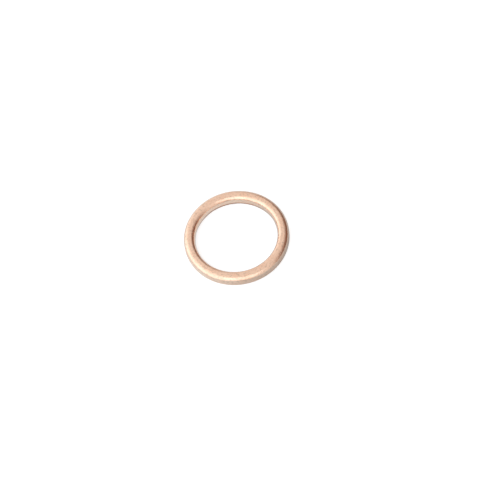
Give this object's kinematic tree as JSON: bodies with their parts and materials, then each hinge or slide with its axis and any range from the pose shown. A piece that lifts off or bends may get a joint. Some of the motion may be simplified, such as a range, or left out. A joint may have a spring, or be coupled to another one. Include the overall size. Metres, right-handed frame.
{
  "type": "crush washer",
  "caption": "Hollow copper crush washer: one strip folded into a domed ring with a flat lapped foot, squeezed under a drain plug's flange to seal it.",
  "frame": {"origin": "on the ring's axis, level with the flat underside that the washer rests on", "axes": "+Z along the ring's axis, from the flat lapped foot to the domed crown; the ring is round, so X and Y are free"},
  "size_m": [0.018, 0.018, 0.0019],
  "materials": {
    "copper": "bright annealed copper, satin"
  },
  "bodies": {
    "root": {"crush_washer": "copper"}
  },
  "joints": []
}
